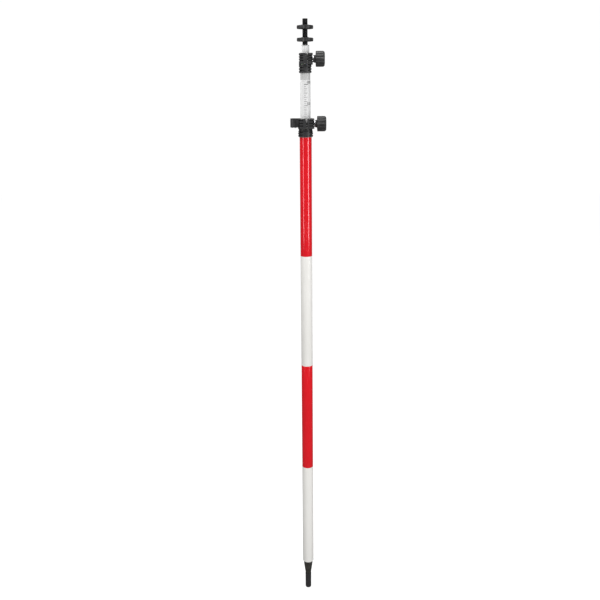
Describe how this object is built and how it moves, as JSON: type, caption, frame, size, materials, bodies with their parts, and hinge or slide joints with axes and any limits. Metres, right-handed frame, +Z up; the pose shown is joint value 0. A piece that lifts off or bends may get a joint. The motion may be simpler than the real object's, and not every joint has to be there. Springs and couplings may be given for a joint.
{
  "type": "telescoping survey pole",
  "caption": "Telescoping survey pole with screw-clamped sliding sections, red and white bands, circular level, capped steel point and threaded top stud with thumb nuts.",
  "frame": {"origin": "bottom of the tip cap, on the pole's axis", "axes": "+Z up along the pole from the tip to the top stud; +X towards the clamp knobs; -X towards the circular level; -Y is the graduated front"},
  "size_m": [0.0882, 0.0561, 1.569],
  "materials": {
    "band_paint": "gloss paint, in red and white bands",
    "scale_film": "satin printed film",
    "anodised_grey": "satin anodised",
    "anodised_white": "satin white",
    "clamp_black": "fine textured moulding",
    "knob_black": "fine textured moulding",
    "liner_nylon": "natural nylon",
    "plug_black": "turned acetal",
    "ferrule_black": "moulded",
    "cap_vinyl": "soft dipped vinyl",
    "point_steel": "turned",
    "fastener_steel": "zinc plated",
    "stud_black": "black oxide",
    "insert_brass": "turned",
    "washer_black": "nylon",
    "vial_acrylic": "clear",
    "vial_liquid": "tinted spirit",
    "vial_cup_white": "moulded",
    "pad_rubber": "cellular rubber"
  },
  "bodies": {
    "outer": {"outer_tube": "band_paint", "bottom_ferrule": "ferrule_black", "ferrule_rivets": "fastener_steel", "steel_point": "point_steel", "lower_clamp_body": "clamp_black", "lower_clamp_liner": "liner_nylon", "lower_clamp_nut": "fastener_steel", "lower_clamp_grub_screws": "fastener_steel", "vial_housing": "clamp_black", "vial_pad": "pad_rubber", "vial_cup": "vial_cup_white", "vial_glass": "vial_acrylic", "vial_fluid": "vial_liquid", "vial_retainer": "clamp_black", "vial_levelling_screws": "fastener_steel", "vial_housing_screw": "fastener_steel"},
    "tip_cap": {"tip_cap": "cap_vinyl"},
    "lower_knob_washer": {"lower_knob_washer": "fastener_steel"},
    "lower_knob": {"lower_knob": "knob_black", "lower_knob_bolt": "fastener_steel"},
    "mid_guide_ring": {"mid_guide_ring": "liner_nylon"},
    "mid": {"mid_tube": "anodised_grey", "mid_scale_sleeve": "scale_film", "mid_end_plug": "plug_black", "mid_plug_rivets": "fastener_steel", "upper_clamp_body": "clamp_black", "upper_clamp_liner": "liner_nylon", "upper_clamp_nut": "fastener_steel", "upper_clamp_grub_screws": "fastener_steel"},
    "upper_knob_washer": {"upper_knob_washer": "fastener_steel"},
    "upper_knob": {"upper_knob": "knob_black", "upper_knob_bolt": "fastener_steel"},
    "inner_guide_ring": {"inner_guide_ring": "liner_nylon"},
    "inner": {"inner_tube": "anodised_white", "inner_end_plug": "plug_black", "inner_plug_rivets": "fastener_steel", "top_bushing": "anodised_grey", "top_bushing_pin": "fastener_steel", "top_stud": "stud_black"},
    "lower_thumb_nut_washer": {"lower_thumb_nut_washer": "washer_black"},
    "lower_thumb_nut": {"lower_thumb_nut": "knob_black", "lower_thumb_nut_insert": "insert_brass"},
    "upper_thumb_nut_washer": {"upper_thumb_nut_washer": "washer_black"},
    "upper_thumb_nut": {"upper_thumb_nut": "knob_black", "upper_thumb_nut_insert": "insert_brass"}
  },
  "joints": [
    {"name": "mid_slide", "type": "slide", "parent": "outer", "child": "mid_guide_ring", "axis": [0, 0, 1], "range_m": [0, 1]},
    {"name": "mid_turn", "type": "hinge", "parent": "mid_guide_ring", "child": "mid", "pos_m": [0, 0, 0.14], "axis": [0, 0, 1], "continuous": true},
    {"name": "inner_slide", "type": "slide", "parent": "mid", "child": "inner_guide_ring", "axis": [0, 0, 1], "range_m": [0, 1]},
    {"name": "inner_turn", "type": "hinge", "parent": "inner_guide_ring", "child": "inner", "pos_m": [0, 0, 0.19], "axis": [0, 0, 1], "continuous": true},
    {"name": "lower_knob_travel", "type": "slide", "parent": "outer", "child": "lower_knob_washer", "axis": [1, 0, 0], "range_m": [0, 0.0021]},
    {"name": "lower_knob_turn", "type": "hinge", "parent": "lower_knob_washer", "child": "lower_knob", "pos_m": [0.04, -0.0186, 1.3242], "axis": [1, 0, 0], "range_deg": [0, 720]},
    {"name": "upper_knob_travel", "type": "slide", "parent": "mid", "child": "upper_knob_washer", "axis": [1, 0, 0], "range_m": [0, 0.0021]},
    {"name": "upper_knob_turn", "type": "hinge", "parent": "upper_knob_washer", "child": "upper_knob", "pos_m": [0.036, -0.0161, 1.4761], "axis": [1, 0, 0], "range_deg": [0, 720]},
    {"name": "lower_thumb_nut_travel", "type": "slide", "parent": "inner", "child": "lower_thumb_nut_washer", "axis": [0, 0, 1], "range_m": [-0.0069, 0.0079]},
    {"name": "lower_thumb_nut_turn", "type": "hinge", "parent": "lower_thumb_nut_washer", "child": "lower_thumb_nut", "pos_m": [0, 0, 1.521], "axis": [0, 0, 1], "range_deg": [-1260, 1440]},
    {"name": "upper_thumb_nut_travel", "type": "slide", "parent": "inner", "child": "upper_thumb_nut_washer", "axis": [0, 0, 1], "range_m": [-0.0079, 0.0118]},
    {"name": "upper_thumb_nut_turn", "type": "hinge", "parent": "upper_thumb_nut_washer", "child": "upper_thumb_nut", "pos_m": [0, 0, 1.5495], "axis": [0, 0, 1], "range_deg": [-1440, 2160]},
    {"name": "tip_cap_pull", "type": "slide", "parent": "outer", "child": "tip_cap", "axis": [0, 0, -1], "range_m": [0, 0.06]}
  ],
  "couplings": [
    {"joint": "lower_knob_travel", "follows": "lower_knob_turn", "m_per_rad": 0.00015915},
    {"joint": "upper_knob_travel", "follows": "upper_knob_turn", "m_per_rad": 0.00015915},
    {"joint": "lower_thumb_nut_travel", "follows": "lower_thumb_nut_turn", "m_per_rad": 0.00031096},
    {"joint": "upper_thumb_nut_travel", "follows": "upper_thumb_nut_turn", "m_per_rad": 0.00031096}
  ]
}
